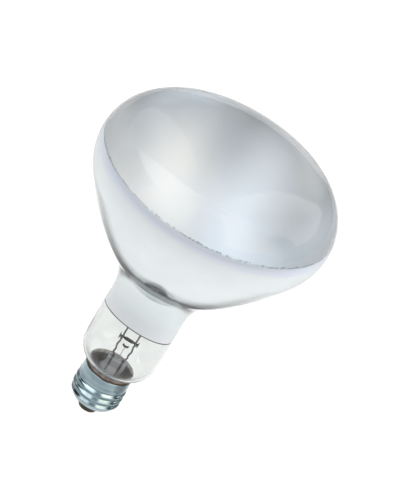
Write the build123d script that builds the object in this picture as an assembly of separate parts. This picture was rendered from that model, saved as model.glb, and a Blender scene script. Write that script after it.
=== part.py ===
from build123d import *
import os
from math import atan, atan2, cos, degrees, pi, radians, sin, sqrt

# A sun lamp: a blown glass reflector bulb on an E27 screw cap, with a quartz burner and a
# ballast filament sealed inside it. Sizes are in mm and angles in degrees. The origin is the
# middle of the contact's face, +Z runs up the axis to the lamp's face, and the two lead wires
# lie in the XZ plane.

# Screw cap
THREAD_DIAMETER = 26.3
THREAD_DEPTH = 1.1
THREAD_PITCH = 3.629
THREAD_TURNS = 3.5
THREAD_RUN_OUT = 1.8
THREAD_START = 3.1
THREAD_FOOT = 7.7
CAP_HEIGHT = 25.8
CAP_SHEET = 0.3
FOOT_HEIGHT = 4.8
FOOT_ROUND = 6.5
FOOT_LIP = 0.2

# Contact and insulator
SOLDER_HEIGHT = 0.6
SOLDER_FACE_RADIUS = 2.2
SOLDER_RADIUS = 3.2
CONTACT_RADIUS = 4.7
CONTACT_SHEET = 0.5
EYELET_RADIUS = 1.5
EYELET_HEIGHT = 2.0
PIP_RADIUS = 5.0
SIDE_SOLDER_RADIUS = 1.4
CEMENT_STAND = 0.3

# Glass bulb
BULB_DIAMETER = 125.0
BULB_LENGTH = 175.5
GLASS_WALL = 1.0
FOCAL_LENGTH = 17.4
VERTEX_HEIGHT = 78.8
RIM_STEP = 4.0
CROWN_BULGE = 9.0
BOWL_FOOT_RADIUS = 30.0
NECK_DIAMETER = 39.0
SHOULDER_ROUND = 11.5
TAIL_GAP = 0.8
TAIL_STAND = 0.6
TAIL_FILLET = 2.0
TAIL_FOOT = 13.0
TAIL_TAPER = 1.6

# Mirror coating inside the bulb, from its slanting edge in the neck to the frosted face
COATING = 0.2
COATING_TOP = 146.7
COATING_EDGE_HEIGHT = 56.7
COATING_LEAN_X = -16.6
COATING_LEAN_Y = 4.2

# Stem, press and lead wires
FLARE_WALL = 1.1
STEM_RADIUS = 6.2
STEM_RISE = 9.0
PRESS_FOOT = 25.0
PRESS_SHOULDER = 29.0
PRESS_TOP = 33.5
PRESS_WIDTH = 10.5
PRESS_DEPTH = 4.4
MOUNT_SHIFT = 1.1
EXHAUST_RADIUS = 1.75
EXHAUST_BORE = 0.9
EXHAUST_TIP = 11.0
LEAD_RADIUS = 0.45
LEAD_SPACING = 7.3
LEAD_SPACING_PRESS = 5.6
LEAD_BEND = 0.8
OUTER_LEAD_RADIUS = 0.2
OUTER_LEAD_DIP = 2.5

# Bridge and getter in the neck
BRIDGE_HEIGHT = 45.0
SPOOL_LENGTH = 10.6
SPOOL_RADIUS = 0.9
SPOOL_NECK_RADIUS = 0.5
SPOOL_END_RADIUS = 1.9
TIE_RADIUS = 0.18
TIE_SLACK = 0.22
GETTER_HEIGHT = 41.6
GETTER_CHORD = 3.3
GETTER_SAG = 0.8
GETTER_WIDTH = 1.4
GETTER_SHEET = 0.45
GETTER_WIRE_RADIUS = 0.2

# Burner, with its middle at the reflector's focus
BURNER_RADIUS = 6.0
BURNER_WALL = 1.1
BURNER_BODY = 28.0
PINCH_WIDTH = 7.0
PINCH_DEPTH = 2.6
PINCH_LENGTH = 7.0
ARC_GAP = 15.0
ELECTRODE_RADIUS = 0.45
ELECTRODE_COIL_RADIUS = 1.1
ELECTRODE_COIL_LENGTH = 2.4
FOIL_WIDTH = 2.4
FOIL_LENGTH = 5.0
FOIL_SHEET = 0.1
PIN_RADIUS = 0.4
PIN_LENGTH = 5.0
STRAP_SHEET = 0.4
STRAP_HEIGHT = 3.0
STRAP_INSET = 1.0
LEG_WIDTH = 2.0

# Filament, with its disc and hooks, and the frame that the right lead makes beside the burner
DISC_GAP = 4.2
DISC_THICKNESS = 3.0
DISC_RADIUS = 10.5
LEAD_SPREAD_RISE = 3.0
FRAME_REACH = 15.0
FRAME_RISE = 8.0
FILAMENT_RADIUS = 19.0
FILAMENT_COIL_RADIUS = 0.9
FILAMENT_ARC = 340.0
HOOK_COUNT = 6
HOOK_RADIUS = 0.25
HOOK_CIRCLE = 8.6
HOOK_SEAT = 1.5
LINK_RADIUS = 0.3

# Clearance between pieces that touch, where the real ones are fused, soldered or pressed
FIT = 0.03

CAP_RADIUS = (THREAD_DIAMETER - THREAD_DEPTH) / 2
COLLAR_FOOT = THREAD_FOOT + THREAD_TURNS * THREAD_PITCH
FOOT_HOLE_RADIUS = CAP_RADIUS - FOOT_ROUND - FOOT_LIP
CEMENT_TOP = CAP_HEIGHT + CEMENT_STAND
CONTACT_TOP = SOLDER_HEIGHT + CONTACT_SHEET
RIM_RADIUS = BULB_DIAMETER / 2
NECK_RADIUS = NECK_DIAMETER / 2
TAIL_RADIUS = CAP_RADIUS - CAP_SHEET - TAIL_GAP
TAIL_FOOT_RADIUS = TAIL_RADIUS - TAIL_TAPER
FOCUS_HEIGHT = VERTEX_HEIGHT + FOCAL_LENGTH
LEAD_FOOT = PRESS_FOOT - 2 * LEAD_RADIUS
SIDE_LEAD_LOW = TAIL_FOOT - FLARE_WALL - OUTER_LEAD_DIP
PINCH_END = BURNER_BODY / 2 + PINCH_LENGTH
PIN_END = PINCH_END + PIN_LENGTH
DISC_TOP = FOCUS_HEIGHT - PIN_END - DISC_GAP
DISC_FOOT = DISC_TOP - DISC_THICKNESS
SPREAD_HEIGHT = DISC_TOP + LEAD_SPREAD_RISE
FRAME_TOP = FOCUS_HEIGHT + PIN_END - 2 * LEAD_RADIUS


def bowl_height(radius):
    """Height of the parabolic reflector at a radius."""
    return VERTEX_HEIGHT + radius**2 / (4 * FOCAL_LENGTH)


def bowl_slope(radius):
    """Slope of the reflector at a radius, as an angle away from the axis."""
    return degrees(atan(2 * FOCAL_LENGTH / radius))


def bulb_joints():
    """Where the bulb's outline changes, from tail to crown: radius, height, slope, curve to the next."""
    # The tail widens to upright just above the cement
    tail_top = CEMENT_TOP + TAIL_STAND
    tail_slope = 2 * degrees(atan(TAIL_TAPER / (tail_top - TAIL_FOOT)))
    # The fillet above the tail touches the tail's top and the shoulder's round
    shoulder_centre = NECK_RADIUS - SHOULDER_ROUND
    reach = TAIL_RADIUS + TAIL_FILLET - shoulder_centre
    drop = sqrt((SHOULDER_ROUND + TAIL_FILLET) ** 2 - reach**2)
    under = degrees(atan2(drop, reach))
    shoulder_top = tail_top + drop
    under_radius = shoulder_centre + SHOULDER_ROUND * cos(radians(under))
    under_height = shoulder_top - SHOULDER_ROUND * sin(radians(under))
    # The throat's hollow round leaves the neck upright and meets the parabola at its own slope
    foot_slope = bowl_slope(BOWL_FOOT_RADIUS)
    throat_round = (BOWL_FOOT_RADIUS - NECK_RADIUS) / (1 - cos(radians(foot_slope)))
    neck_top = bowl_height(BOWL_FOOT_RADIUS) - throat_round * sin(radians(foot_slope))
    # The rim rounds from the parabola's mouth to upright
    mouth_radius = RIM_RADIUS - RIM_STEP
    mouth_slope = bowl_slope(mouth_radius)
    rim_round = RIM_STEP / (1 - cos(radians(mouth_slope)))
    rim_height = bowl_height(mouth_radius) + rim_round * sin(radians(mouth_slope))
    # The face's edge round takes up the rise that the crown's bulge leaves, and the crown touches it
    rise = BULB_LENGTH - rim_height
    edge_round = rise - CROWN_BULGE
    edge_centre = RIM_RADIUS - edge_round
    crown = (rise**2 + edge_centre**2 - edge_round**2) / (2 * CROWN_BULGE)
    edge_turn = degrees(atan2(crown - rise, edge_centre))
    edge_radius = edge_centre + edge_round * cos(radians(edge_turn))
    edge_height = rim_height + edge_round * sin(radians(edge_turn))
    return {
        "tail foot": (TAIL_FOOT_RADIUS, TAIL_FOOT, tail_slope, "arc"),
        "tail top": (TAIL_RADIUS, tail_top, 0, "arc"),
        "under shoulder": (under_radius, under_height, under, "arc"),
        "shoulder": (NECK_RADIUS, shoulder_top, 0, "line"),
        "neck top": (NECK_RADIUS, neck_top, 0, "arc"),
        "bowl foot": (BOWL_FOOT_RADIUS, bowl_height(BOWL_FOOT_RADIUS), foot_slope, "bend"),
        "mouth": (mouth_radius, bowl_height(mouth_radius), mouth_slope, "arc"),
        "rim": (RIM_RADIUS, rim_height, 0, "arc"),
        "face edge": (edge_radius, edge_height, -edge_turn, "arc"),
        "crown": (0, BULB_LENGTH, -90, "end"),
    }


def bend(start, end, start_slope, end_slope):
    """A parabola that leaves one point and reaches the other along the given slopes."""
    out = Vector(sin(radians(start_slope)), 0, cos(radians(start_slope)))
    home = Vector(sin(radians(end_slope)), 0, cos(radians(end_slope)))
    gap = end - start
    along = (gap.X * home.Z - gap.Z * home.X) / (out.X * home.Z - out.Z * home.X)
    return Bezier(start, start + out * along, end)


def inset_point(joint, inset):
    """A joint of the bulb's outline, moved inwards square to the outline."""
    radius, height, slope, curve = joint
    return Vector(radius - inset * cos(radians(slope)), 0, height + inset * sin(radians(slope)))


def bulb_outline(inset, first, last):
    """The bulb's outline moved inwards by an inset, between two of its joints."""
    joints = bulb_joints()
    names = list(joints)
    run = names[names.index(first) : names.index(last) + 1]
    edges = []
    for here, beyond in zip(run, run[1:]):
        start = inset_point(joints[here], inset)
        end = inset_point(joints[beyond], inset)
        slope, curve = joints[here][2:]
        if curve == "line":
            edges.append(Line(start, end))
        elif curve == "arc":
            edges.append(TangentArc(start, end, tangent=(sin(radians(slope)), 0, cos(radians(slope)))))
        else:
            edges.append(bend(start, end, slope, joints[beyond][2]))
    return edges


def turned_shell(outer_inset, inner_inset, first, last):
    """A shell turned about the axis, between two insets of the bulb's outline."""
    outer = bulb_outline(outer_inset, first, last)
    inner = bulb_outline(inner_inset, first, last)
    ends = [Line(outer[0] @ 0, inner[0] @ 0), Line(outer[-1] @ 1, inner[-1] @ 1)]
    return revolve(make_face(outer + inner + ends), Axis.Z)


def turned(*points):
    """A solid turned about the axis from straight-sided points of radius and height."""
    return revolve(make_face(Polyline(*[(r, 0, z) for r, z in points], close=True)), Axis.Z)


def bent_wire(points, radius, bend_radius):
    """A round wire bent along straight runs."""
    path = FilletPolyline(*points, radius=bend_radius) if len(points) > 2 else Line(*points)
    start = Plane(origin=path @ 0, z_dir=path % 0)
    return sweep(start * Circle(radius), path=path)


def make_mirror_coating():
    lining = turned_shell(GLASS_WALL + FIT, GLASS_WALL + FIT + COATING, "shoulder", "face edge")
    lining = split(lining, bisect_by=Plane.XY.offset(COATING_TOP), keep=Keep.BOTTOM)
    edge = Plane.XY.offset(COATING_EDGE_HEIGHT).rotated((COATING_LEAN_X, COATING_LEAN_Y, 0))
    return split(lining, bisect_by=edge, keep=Keep.TOP)


def thread_ramp(height):
    """How far the thread has risen to full depth at a height: 0 at its ends, 1 between them."""
    run = min(height - THREAD_FOOT, COLLAR_FOOT - height) / THREAD_RUN_OUT
    run = max(0, min(1, run))
    return run * run * (3 - 2 * run)


def foot_radius(height, inset):
    """Radius of the cap's form at a height: the foot's big round, then straight."""
    drop = max(0, FOOT_HEIGHT + FOOT_ROUND - height)
    return CAP_RADIUS - FOOT_ROUND + sqrt((FOOT_ROUND - inset) ** 2 - drop**2)


def foot_round(inset):
    """The foot's round, from its flat floor to the height where the thread starts."""
    floor = (CAP_RADIUS - FOOT_ROUND, 0, FOOT_HEIGHT + inset)
    return TangentArc(floor, (foot_radius(THREAD_FOOT, inset), 0, THREAD_FOOT), tangent=(1, 0, 0))


def cap_form(inset):
    """The cap's outer form moved inwards: round foot, rolled thread and plain collar."""
    corner = foot_round(inset)
    axis_foot = (0, 0, FOOT_HEIGHT + inset)
    axis_top = (0, 0, THREAD_FOOT)
    foot = revolve(make_face([corner, Polyline(corner @ 0, axis_foot, axis_top, corner @ 1)]), Axis.Z)
    # Each slice of a rolled thread is a circle that stands off the axis and turns with height
    steps = int(THREAD_TURNS * 8)
    slices = []
    for i in range(steps + 1):
        height = THREAD_FOOT + i * (COLLAR_FOOT - THREAD_FOOT) / steps
        off = thread_ramp(height) * THREAD_DEPTH / 2
        turn = 2 * pi * (height - THREAD_START) / THREAD_PITCH
        circle = Circle(foot_radius(height, inset))
        slices.append(Pos(off * cos(turn), off * sin(turn), height) * circle)
    collar_height = CAP_HEIGHT - COLLAR_FOOT + inset
    collar = Pos(0, 0, COLLAR_FOOT + collar_height / 2) * Cylinder(CAP_RADIUS - inset, collar_height)
    return foot + loft(slices) + collar


def make_cap_shell():
    hole = Pos(0, 0, FOOT_HEIGHT) * Cylinder(FOOT_HOLE_RADIUS, 4 * CAP_SHEET)
    return cap_form(0) - cap_form(CAP_SHEET) - hole


def make_cap_insulator():
    corner = foot_round(CAP_SHEET + FIT)
    floor = FOOT_HEIGHT + CAP_SHEET + FIT
    bore = EYELET_RADIUS + FIT
    neck = FOOT_HOLE_RADIUS - FIT
    side = Polyline(corner @ 0, (neck, 0, floor), (neck, 0, FOOT_HEIGHT), (PIP_RADIUS, 0, CONTACT_TOP))
    core = Polyline(side @ 1, (bore, 0, CONTACT_TOP), (bore, 0, THREAD_FOOT), corner @ 1)
    return revolve(make_face([corner, side, core]), Axis.Z)


def make_centre_contact():
    bore = OUTER_LEAD_RADIUS + FIT
    return turned(
        (bore, SOLDER_HEIGHT),
        (CONTACT_RADIUS, SOLDER_HEIGHT),
        (CONTACT_RADIUS, CONTACT_TOP - FIT),
        (EYELET_RADIUS, CONTACT_TOP - FIT),
        (EYELET_RADIUS, CONTACT_TOP + EYELET_HEIGHT),
        (bore, CONTACT_TOP + EYELET_HEIGHT),
    )


def make_contact_solder():
    top = SOLDER_HEIGHT - FIT
    lines = [
        Line((0, 0, top), (0, 0, 0)),
        Line((0, 0, 0), (SOLDER_FACE_RADIUS, 0, 0)),
        TangentArc((SOLDER_FACE_RADIUS, 0, 0), (SOLDER_RADIUS, 0, top), tangent=(1, 0, 0)),
        Line((SOLDER_RADIUS, 0, top), (0, 0, top)),
    ]
    return revolve(make_face(lines), Axis.Z)


def side_lead_run(low):
    """The shell's lead from a low height up between tail and cap to just over the cement."""
    root = CAP_RADIUS - THREAD_DEPTH / 2 - CAP_SHEET
    rim = CAP_RADIUS - CAP_SHEET
    over = CEMENT_TOP + OUTER_LEAD_RADIUS + FIT
    return [(0, (TAIL_FOOT_RADIUS + root) / 2, low), (0, (TAIL_RADIUS + rim) / 2, over)]


def make_basing_cement():
    outer = CAP_RADIUS - CAP_SHEET - FIT
    ring = turned(
        (TAIL_RADIUS + FIT, COLLAR_FOOT),
        (outer, COLLAR_FOOT),
        (outer, CAP_HEIGHT),
        (TAIL_RADIUS + FIT, CEMENT_TOP),
    )
    return ring - bent_wire(side_lead_run(SIDE_LEAD_LOW), OUTER_LEAD_RADIUS + FIT, LEAD_BEND)


def lead_press_x(side):
    return MOUNT_SHIFT + side * LEAD_SPACING_PRESS / 2


def lead_x(side):
    return MOUNT_SHIFT + side * LEAD_SPACING / 2


def make_contact_lead():
    x = lead_press_x(-1)
    points = [
        (x, 0, LEAD_FOOT - FIT),
        (x, 0, EXHAUST_TIP - OUTER_LEAD_DIP / 3),
        (0, 0, THREAD_FOOT + OUTER_LEAD_DIP / 3),
        (0, 0, SOLDER_HEIGHT),
    ]
    return bent_wire(points, OUTER_LEAD_RADIUS, LEAD_BEND)


def make_shell_lead():
    x = lead_press_x(1)
    run = side_lead_run(SIDE_LEAD_LOW)
    end = (0, CAP_RADIUS + SIDE_SOLDER_RADIUS / 2, run[1][2])
    points = [(x, 0, LEAD_FOOT - FIT), (x, 0, SIDE_LEAD_LOW), *run, end]
    return bent_wire(points, OUTER_LEAD_RADIUS, OUTER_LEAD_RADIUS)


def make_side_solder(shell_lead):
    ball = Pos(0, CAP_RADIUS, CAP_HEIGHT - SIDE_SOLDER_RADIUS / 4) * Sphere(SIDE_SOLDER_RADIUS)
    rim = Pos(0, 0, CAP_HEIGHT / 2 + FIT) * Cylinder(CAP_RADIUS + FIT, CAP_HEIGHT)
    core = Pos(0, 0, CAP_HEIGHT) * Cylinder(CAP_RADIUS - CAP_SHEET, CAP_HEIGHT)
    return ball - rim - core - shell_lead


def make_stem():
    inner = inset_point(bulb_joints()["tail foot"], GLASS_WALL) - Vector(0, 0, FIT)
    seal = inner.X
    hollow = STEM_RADIUS - FLARE_WALL
    top = TAIL_FOOT - FIT
    low = top - FLARE_WALL
    outside = [(seal, 0, low), (TAIL_FOOT_RADIUS, 0, low), (TAIL_FOOT_RADIUS, 0, top), inner]
    lines = [
        Polyline(*outside),
        Bezier(inner, (STEM_RADIUS, 0, inner.Z), (STEM_RADIUS, 0, top + STEM_RISE)),
        Polyline((STEM_RADIUS, 0, top + STEM_RISE), (STEM_RADIUS, 0, PRESS_FOOT)),
        Polyline((STEM_RADIUS, 0, PRESS_FOOT), (hollow, 0, PRESS_FOOT), (hollow, 0, top + STEM_RISE)),
        Bezier((seal, 0, low), (hollow, 0, low), (hollow, 0, top + STEM_RISE)),
    ]
    flare = revolve(make_face(lines), Axis.Z)
    flat = RectangleRounded(PRESS_WIDTH, PRESS_DEPTH, PRESS_DEPTH / 2.5)
    pinched = loft([Pos(0, 0, PRESS_FOOT) * Circle(STEM_RADIUS), Pos(MOUNT_SHIFT, 0, PRESS_SHOULDER) * flat])
    press = extrude(Pos(MOUNT_SHIFT, 0, PRESS_SHOULDER) * flat, PRESS_TOP - PRESS_SHOULDER)
    press = fillet(press.faces().sort_by(Axis.Z)[-1].edges(), PRESS_DEPTH / 5)
    stem = flare + pinched + press
    # Bores for the leads, the exhaust channel with its side outlet, and the getter's wire
    height = PRESS_TOP - PRESS_FOOT
    for side in (-1, 1):
        x = lead_press_x(side)
        stem -= Pos(x, 0, PRESS_FOOT + height / 2) * Cylinder(LEAD_RADIUS + FIT, height + 1)
    outlet = (PRESS_FOOT + PRESS_SHOULDER) / 2 + EXHAUST_BORE
    stem -= Pos(MOUNT_SHIFT, 0, (PRESS_FOOT + outlet) / 2) * Cylinder(EXHAUST_BORE, outlet - PRESS_FOOT)
    stem -= Pos(MOUNT_SHIFT, STEM_RADIUS / 2, outlet) * Rot(90, 0, 0) * Cylinder(EXHAUST_BORE, STEM_RADIUS)
    stem -= Pos(MOUNT_SHIFT, 0, PRESS_TOP) * Cylinder(GETTER_WIRE_RADIUS + FIT, 2 * PRESS_DEPTH / 2.2)
    return stem


def make_exhaust_tube():
    inner = EXHAUST_BORE
    top = PRESS_FOOT - FIT
    neck = EXHAUST_TIP + EXHAUST_RADIUS
    lines = [
        TangentArc((0, 0, EXHAUST_TIP), (EXHAUST_RADIUS, 0, neck), tangent=(1, 0, 0)),
        Polyline((EXHAUST_RADIUS, 0, neck), (EXHAUST_RADIUS, 0, top), (inner, 0, top), (inner, 0, neck)),
        TangentArc((inner, 0, neck), (0, 0, neck - inner), tangent=(0, 0, -1)),
        Line((0, 0, neck - inner), (0, 0, EXHAUST_TIP)),
    ]
    return Pos(MOUNT_SHIFT, 0, 0) * revolve(make_face(lines), Axis.Z)


def lead_run(side):
    """The part of a lead that both share: up through the press, kinked, then straight to the disc."""
    x = lead_x(side)
    kink = side * LEAD_RADIUS
    rise = BRIDGE_HEIGHT - PRESS_TOP
    return [
        (lead_press_x(side), 0, LEAD_FOOT),
        (lead_press_x(side), 0, PRESS_TOP + LEAD_BEND),
        (x + kink / 2, 0, PRESS_TOP + 0.22 * rise),
        (x - kink / 3, 0, PRESS_TOP + 0.36 * rise),
        (x + kink, 0, PRESS_TOP + 0.6 * rise),
        (x, 0, PRESS_TOP + 0.84 * rise),
        (x, 0, SPREAD_HEIGHT),
    ]


def make_lead_wire_left():
    foot = FOCUS_HEIGHT - FILAMENT_COIL_RADIUS - LEAD_RADIUS - FIT
    reach = -FILAMENT_RADIUS
    points = lead_run(-1) + [(reach - 2 * LEAD_RADIUS, 0, foot - FRAME_RISE), (reach, 0, foot)]
    return bent_wire(points, LEAD_RADIUS, LEAD_BEND)


def make_lead_wire_right():
    bends = [
        (FRAME_REACH, 0, SPREAD_HEIGHT + FRAME_RISE),
        (FRAME_REACH, 0, FRAME_TOP),
        (PIN_RADIUS + FIT, 0, FRAME_TOP),
    ]
    return bent_wire(lead_run(1) + bends, LEAD_RADIUS, LEAD_BEND)


def make_bridge_spool():
    half = SPOOL_LENGTH / 2
    lead = LEAD_SPACING / 2
    groove = 2 * LEAD_RADIUS
    profile = Polyline(
        (-half, 0),
        (-half, SPOOL_END_RADIUS),
        (-lead - groove, SPOOL_NECK_RADIUS),
        (-lead + groove, SPOOL_NECK_RADIUS),
        (-lead + 2 * groove, SPOOL_RADIUS),
        (lead - 2 * groove, SPOOL_RADIUS),
        (lead - groove, SPOOL_NECK_RADIUS),
        (lead + groove, SPOOL_NECK_RADIUS),
        (half, SPOOL_END_RADIUS),
        (half, 0),
        close=True,
    )
    spool = revolve(make_face(profile), Axis.X)
    return Pos(MOUNT_SHIFT, LEAD_RADIUS + SPOOL_NECK_RADIUS + FIT, BRIDGE_HEIGHT) * spool


def make_bridge_ties():
    """A slanting wire loop around each crossing of a lead and the spool's neck."""
    mid = (LEAD_RADIUS + SPOOL_NECK_RADIUS + FIT) / 2
    slant = max(LEAD_RADIUS, SPOOL_NECK_RADIUS) * sqrt(2)
    long_half = mid + max(LEAD_RADIUS, SPOOL_NECK_RADIUS) + TIE_RADIUS + TIE_SLACK
    short_half = slant + TIE_RADIUS + TIE_SLACK
    loops = []
    for side in (-1, 1):
        centre = Vector(lead_x(side), mid, BRIDGE_HEIGHT)
        around = Plane(origin=centre, x_dir=(0, 1, 0), z_dir=(1, 0, side))
        path = around * Ellipse(long_half, short_half).edge()
        start = Plane(origin=path @ 0, z_dir=path % 0)
        loops.append(sweep(start * Circle(TIE_RADIUS), path=path))
    return loops


def make_getter_strip():
    half = GETTER_CHORD / 2
    top = GETTER_HEIGHT + GETTER_SAG
    upper = ThreePointArc((-half, 0, top), (0, 0, GETTER_HEIGHT), (half, 0, top))
    lower_sag = GETTER_HEIGHT - GETTER_SHEET
    lower = ThreePointArc((-half, 0, top - GETTER_SHEET), (0, 0, lower_sag), (half, 0, top - GETTER_SHEET))
    ends = [Line(upper @ 0, lower @ 0), Line(upper @ 1, lower @ 1)]
    face = make_face([upper, lower] + ends)
    return Pos(MOUNT_SHIFT, 0, 0) * extrude(face, GETTER_WIDTH / 2, both=True)


def make_getter_wire():
    foot = (MOUNT_SHIFT, 0, PRESS_TOP - PRESS_DEPTH / 2.5)
    head = (MOUNT_SHIFT, 0, GETTER_HEIGHT - GETTER_SHEET - FIT)
    return bent_wire([foot, head], GETTER_WIRE_RADIUS, LEAD_BEND)


def hook_angle(i):
    return 180 - FILAMENT_ARC * (i + 0.5) / HOOK_COUNT


def make_hook_disc():
    disc = Pos(0, 0, DISC_FOOT + DISC_THICKNESS / 2) * Cylinder(DISC_RADIUS, DISC_THICKNESS)
    disc = chamfer(disc.edges(), DISC_THICKNESS / 8)
    for side in (-1, 1):
        disc -= Pos(lead_x(side), 0, DISC_FOOT) * Cylinder(LEAD_RADIUS + FIT, 4 * DISC_THICKNESS)
    for i in range(HOOK_COUNT):
        bore = Pos(HOOK_CIRCLE, 0, DISC_TOP) * Cylinder(HOOK_RADIUS + FIT, 2 * HOOK_SEAT)
        disc -= Rot(0, 0, hook_angle(i)) * bore
    return disc


def make_filament_hooks():
    """Wire hooks that stand in the disc, each with an eye around the filament."""
    eye = FILAMENT_COIL_RADIUS + HOOK_RADIUS + FIT
    points = [
        (HOOK_CIRCLE, 0, DISC_TOP - HOOK_SEAT + FIT),
        (HOOK_CIRCLE, 0, DISC_TOP + LEAD_SPREAD_RISE),
        (FILAMENT_RADIUS, 0, FOCUS_HEIGHT - 3 * eye),
        (FILAMENT_RADIUS, 0, FOCUS_HEIGHT - eye),
    ]
    loop = Pos(FILAMENT_RADIUS, 0, FOCUS_HEIGHT) * Rot(90, 0, 0) * Torus(eye, HOOK_RADIUS)
    hook = bent_wire(points, HOOK_RADIUS, LEAD_BEND) + loop
    return [Rot(0, 0, hook_angle(i)) * hook for i in range(HOOK_COUNT)]


def make_filament():
    ring = Plane.XZ * Pos(FILAMENT_RADIUS, FOCUS_HEIGHT) * Circle(FILAMENT_COIL_RADIUS)
    coil = revolve(ring, Axis.Z, revolution_arc=FILAMENT_ARC)
    return Rot(0, 0, 180 - FILAMENT_ARC) * coil


def make_filament_link():
    """The wire from the filament's far end down to the burner's lower pin."""
    turn = radians(180 - FILAMENT_ARC + 2)
    reach = FILAMENT_RADIUS
    low = FOCUS_HEIGHT - PINCH_END - PIN_LENGTH / 1.3
    hub = PIN_RADIUS + FIT
    runs = [
        (reach, FOCUS_HEIGHT - FILAMENT_COIL_RADIUS - FIT),
        (reach, FOCUS_HEIGHT - 3 * FILAMENT_COIL_RADIUS),
        (DISC_RADIUS, low),
        (hub, low),
    ]
    points = [(radius * cos(turn), radius * sin(turn), height) for radius, height in runs]
    return bent_wire(points, LINK_RADIUS, LEAD_BEND)


def capsule(radius, length):
    """A round-ended rod along the axis, about the origin."""
    straight = length / 2 - radius
    lines = [
        Line((0, 0, -length / 2), (0, 0, length / 2)),
        TangentArc((0, 0, length / 2), (radius, 0, straight), tangent=(1, 0, 0)),
        Line((radius, 0, straight), (radius, 0, -straight)),
        TangentArc((radius, 0, -straight), (0, 0, -length / 2), tangent=(0, 0, -1)),
    ]
    return revolve(make_face(lines), Axis.Z)


def burner_end(piece, end):
    """Carries a piece drawn for the burner's upper end to either end, at the focus."""
    return Pos(0, 0, FOCUS_HEIGHT) * Rot(0 if end > 0 else 180, 0, 0) * piece


def electrode(clearance):
    rod_length = BURNER_BODY / 2 - ARC_GAP / 2
    rod_middle = (BURNER_BODY + ARC_GAP) / 4
    rod = Pos(0, 0, rod_middle) * Cylinder(ELECTRODE_RADIUS + clearance, rod_length)
    coil_middle = ARC_GAP / 2 + ELECTRODE_COIL_LENGTH / 2 + ELECTRODE_RADIUS
    coil = Pos(0, 0, coil_middle) * Cylinder(ELECTRODE_COIL_RADIUS, ELECTRODE_COIL_LENGTH)
    return rod if clearance else rod + coil


def foil(clearance):
    middle = BURNER_BODY / 2 + FIT + FOIL_LENGTH / 2
    size = [FOIL_WIDTH + 2 * clearance, FOIL_SHEET + 2 * clearance, FOIL_LENGTH + 2 * clearance]
    return Pos(0, 0, middle) * Box(*size)


def pin(clearance):
    foot = BURNER_BODY / 2 + FOIL_LENGTH + 2 * FIT
    length = PIN_END - foot
    return Pos(0, 0, foot + length / 2) * Cylinder(PIN_RADIUS + clearance, length + 2 * clearance)


def make_burner_tube():
    tube = capsule(BURNER_RADIUS, BURNER_BODY)
    pinch_foot = BURNER_BODY / 2 - BURNER_RADIUS / 2
    pinch_length = PINCH_END - pinch_foot
    blank = Pos(0, 0, pinch_foot + pinch_length / 2) * Box(PINCH_WIDTH, PINCH_DEPTH, pinch_length)
    blank = fillet(blank.edges().filter_by(Axis.Z), PINCH_DEPTH / 4)
    tube = Pos(0, 0, FOCUS_HEIGHT) * tube + burner_end(blank, 1) + burner_end(blank, -1)
    tube -= Pos(0, 0, FOCUS_HEIGHT) * capsule(BURNER_RADIUS - BURNER_WALL, BURNER_BODY - 2 * BURNER_WALL)
    for end in (-1, 1):
        tube -= burner_end(electrode(FIT), end)
        tube -= burner_end(foil(FIT), end)
        tube -= burner_end(pin(FIT), end)
    return tube


def strap_band():
    """A metal band around a pinch, in the middle of the pinch's height."""
    gap = 2 * FIT
    outside = Box(PINCH_WIDTH + gap + 2 * STRAP_SHEET, PINCH_DEPTH + gap + 2 * STRAP_SHEET, STRAP_HEIGHT)
    inside = Box(PINCH_WIDTH + gap, PINCH_DEPTH + gap, 2 * STRAP_HEIGHT)
    return outside - inside


def make_upper_strap():
    height = FOCUS_HEIGHT + PINCH_END - STRAP_HEIGHT / 2 - STRAP_INSET
    start = PINCH_WIDTH / 2 + FIT + STRAP_SHEET / 2
    end = FRAME_REACH - LEAD_RADIUS - FIT
    arm = Pos((start + end) / 2, 0, 0) * Box(end - start, STRAP_SHEET, STRAP_HEIGHT)
    return Pos(0, 0, height) * (strap_band() + arm)


def make_lower_strap():
    height = FOCUS_HEIGHT - PINCH_END + STRAP_HEIGHT / 2 + STRAP_INSET
    foot = DISC_TOP + FIT
    strap = Pos(0, 0, height) * strap_band()
    for side in (-1, 1):
        y = side * (PINCH_DEPTH / 2 + FIT + STRAP_SHEET / 2)
        leg_height = height - foot
        strap += Pos(0, y, foot + leg_height / 2) * Box(LEG_WIDTH, STRAP_SHEET, leg_height)
    return strap


SHELL_LEAD = make_shell_lead()

NODES = {
    "glass_bulb": turned_shell(0, GLASS_WALL, "tail foot", "crown"),
    "mirror_coating": make_mirror_coating(),
    "cap_shell": make_cap_shell(),
    "cap_insulator": make_cap_insulator(),
    "centre_contact": make_centre_contact(),
    "contact_solder": make_contact_solder(),
    "side_solder": make_side_solder(SHELL_LEAD),
    "basing_cement": make_basing_cement(),
    "stem": make_stem(),
    "exhaust_tube": make_exhaust_tube(),
    "contact_lead": make_contact_lead(),
    "shell_lead": SHELL_LEAD,
    "lead_wire_left": make_lead_wire_left(),
    "lead_wire_right": make_lead_wire_right(),
    "bridge_spool": make_bridge_spool(),
    "bridge_ties": make_bridge_ties(),
    "getter_strip": make_getter_strip(),
    "getter_wire": make_getter_wire(),
    "hook_disc": make_hook_disc(),
    "filament_hooks": make_filament_hooks(),
    "filament": make_filament(),
    "filament_link": make_filament_link(),
    "burner_tube": make_burner_tube(),
    "upper_electrode": burner_end(electrode(0), 1),
    "lower_electrode": burner_end(electrode(0), -1),
    "upper_foil": burner_end(foil(0), 1),
    "lower_foil": burner_end(foil(0), -1),
    "upper_pin": burner_end(pin(0), 1),
    "lower_pin": burner_end(pin(0), -1),
    "upper_strap": make_upper_strap(),
    "lower_strap": make_lower_strap(),
}

os.makedirs("parts", exist_ok=True)
for name, shape in NODES.items():
    solids = shape if isinstance(shape, list) else shape.solids()
    export_step(solids[0] if len(solids) == 1 else Compound(solids), f"parts/{name}.step")
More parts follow.
